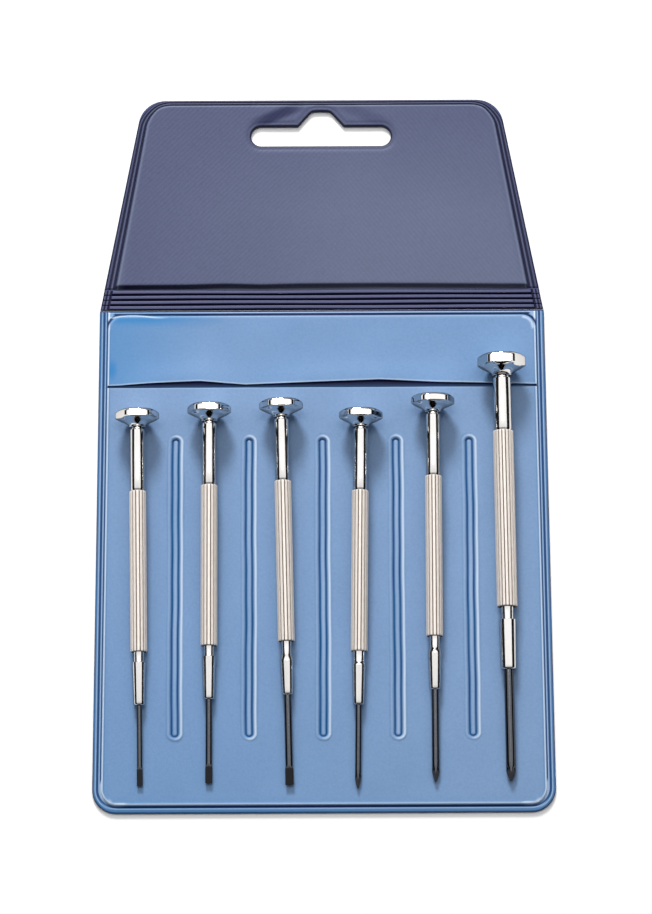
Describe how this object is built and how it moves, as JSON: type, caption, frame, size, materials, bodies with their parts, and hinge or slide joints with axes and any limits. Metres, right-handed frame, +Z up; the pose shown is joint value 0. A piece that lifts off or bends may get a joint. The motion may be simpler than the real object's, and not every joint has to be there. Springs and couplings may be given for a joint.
{
  "type": "precision screwdriver set",
  "caption": "Slim screwdrivers with fluted metal handles and free-turning hexagonal caps, laid on an open vinyl wallet with pockets, a ribbed hinge and a hang slot.",
  "frame": {"origin": "centre of the wallet's underside, on the surface it lies on", "axes": "+Z up through the wallet, +Y from the pouch towards the flap, +X to the right when the flap is at the top"},
  "size_m": [0.1116, 0.1808, 0.013],
  "materials": {
    "cover_vinyl": "navy vinyl sheet with a fine twill emboss",
    "flap_vinyl": "navy vinyl sheet with a fine twill emboss, welded over a card",
    "pocket_vinyl": "light blue satin vinyl sheet",
    "board": "grey card",
    "nickel_plate": "bright nickel plate, satin on the fluted grip",
    "black_steel": "black oxide steel, satin",
    "rivet_steel": "plain steel"
  },
  "bodies": {
    "wallet": {"cover_pouch": "cover_vinyl", "pocket_front": "pocket_vinyl", "mouth_band": "pocket_vinyl"},
    "rib_1": {"hinge_rib_1": "cover_vinyl"},
    "rib_2": {"hinge_rib_2": "cover_vinyl"},
    "rib_3": {"hinge_rib_3": "cover_vinyl"},
    "rib_4": {"hinge_rib_4": "cover_vinyl"},
    "flap": {"cover_flap": "cover_vinyl", "flap_board": "board", "flap_lining": "flap_vinyl"},
    "screwdriver_1": {"driver_1_handle": "nickel_plate", "driver_1_blade": "black_steel", "driver_1_rivet": "rivet_steel"},
    "finger_cap_1": {"driver_1_cap": "nickel_plate"},
    "screwdriver_2": {"driver_2_handle": "nickel_plate", "driver_2_blade": "black_steel", "driver_2_rivet": "rivet_steel"},
    "finger_cap_2": {"driver_2_cap": "nickel_plate"},
    "screwdriver_3": {"driver_3_handle": "nickel_plate", "driver_3_blade": "black_steel", "driver_3_rivet": "rivet_steel"},
    "finger_cap_3": {"driver_3_cap": "nickel_plate"},
    "screwdriver_4": {"driver_4_handle": "nickel_plate", "driver_4_blade": "black_steel", "driver_4_rivet": "rivet_steel"},
    "finger_cap_4": {"driver_4_cap": "nickel_plate"},
    "screwdriver_5": {"driver_5_handle": "nickel_plate", "driver_5_blade": "black_steel", "driver_5_rivet": "rivet_steel"},
    "finger_cap_5": {"driver_5_cap": "nickel_plate"},
    "screwdriver_6": {"driver_6_handle": "nickel_plate", "driver_6_blade": "black_steel", "driver_6_rivet": "rivet_steel"},
    "finger_cap_6": {"driver_6_cap": "nickel_plate"}
  },
  "joints": [
    {"name": "rib_1_fold", "type": "hinge", "parent": "wallet", "child": "rib_1", "pos_m": [0, 0.0356, 0.0002], "axis": [-1, 0, 0], "range_deg": [-28, 0]},
    {"name": "rib_2_fold", "type": "hinge", "parent": "rib_1", "child": "rib_2", "pos_m": [0, 0.0369, 0.0002], "axis": [-1, 0, 0], "range_deg": [-28, 0]},
    {"name": "rib_3_fold", "type": "hinge", "parent": "rib_2", "child": "rib_3", "pos_m": [0, 0.0382, 0.0002], "axis": [-1, 0, 0], "range_deg": [-28, 0]},
    {"name": "rib_4_fold", "type": "hinge", "parent": "rib_3", "child": "rib_4", "pos_m": [0, 0.0395, 0.0002], "axis": [-1, 0, 0], "range_deg": [-28, 0]},
    {"name": "flap_fold", "type": "hinge", "parent": "rib_4", "child": "flap", "pos_m": [0, 0.0408, 0.0002], "axis": [-1, 0, 0], "range_deg": [-28, 0]},
    {"name": "screwdriver_1_lift", "type": "slide", "parent": "wallet", "child": "screwdriver_1", "axis": [0, 0, 1], "range_m": [0, 0.03]},
    {"name": "finger_cap_1_spin", "type": "hinge", "parent": "screwdriver_1", "child": "finger_cap_1", "pos_m": [-0.04525, 0.00703, 0.00705], "axis": [-0.0115, 0.9986, 0.052], "continuous": true},
    {"name": "screwdriver_2_lift", "type": "slide", "parent": "wallet", "child": "screwdriver_2", "axis": [0, 0, 1], "range_m": [0, 0.03]},
    {"name": "finger_cap_2_spin", "type": "hinge", "parent": "screwdriver_2", "child": "finger_cap_2", "pos_m": [-0.02765, 0.00844, 0.00705], "axis": [0, 0.9987, 0.05], "continuous": true},
    {"name": "screwdriver_3_lift", "type": "slide", "parent": "wallet", "child": "screwdriver_3", "axis": [0, 0, 1], "range_m": [0, 0.03]},
    {"name": "finger_cap_3_spin", "type": "hinge", "parent": "screwdriver_3", "child": "finger_cap_3", "pos_m": [-0.01009, 0.00943, 0.00705], "axis": [-0.0197, 0.9987, 0.0479], "continuous": true},
    {"name": "screwdriver_4_lift", "type": "slide", "parent": "wallet", "child": "screwdriver_4", "axis": [0, 0, 1], "range_m": [0, 0.03]},
    {"name": "finger_cap_4_spin", "type": "hinge", "parent": "screwdriver_4", "child": "finger_cap_4", "pos_m": [0.00941, 0.00693, 0.00705], "axis": [0.0138, 0.9986, 0.0506], "continuous": true},
    {"name": "screwdriver_5_lift", "type": "slide", "parent": "wallet", "child": "screwdriver_5", "axis": [0, 0, 1], "range_m": [0, 0.03]},
    {"name": "finger_cap_5_spin", "type": "hinge", "parent": "screwdriver_5", "child": "finger_cap_5", "pos_m": [0.02703, 0.01055, 0.00705], "axis": [0.0019, 0.9989, 0.0479], "continuous": true},
    {"name": "screwdriver_6_lift", "type": "slide", "parent": "wallet", "child": "screwdriver_6", "axis": [0, 0, 1], "range_m": [0, 0.03]},
    {"name": "finger_cap_6_spin", "type": "hinge", "parent": "screwdriver_6", "child": "finger_cap_6", "pos_m": [0.04396, 0.02019, 0.00758], "axis": [-0.0096, 0.9989, 0.0458], "continuous": true}
  ],
  "couplings": [
    {"joint": "rib_1_fold", "follows": "flap_fold", "ratio": 1},
    {"joint": "rib_2_fold", "follows": "flap_fold", "ratio": 1},
    {"joint": "rib_3_fold", "follows": "flap_fold", "ratio": 1},
    {"joint": "rib_4_fold", "follows": "flap_fold", "ratio": 1}
  ]
}
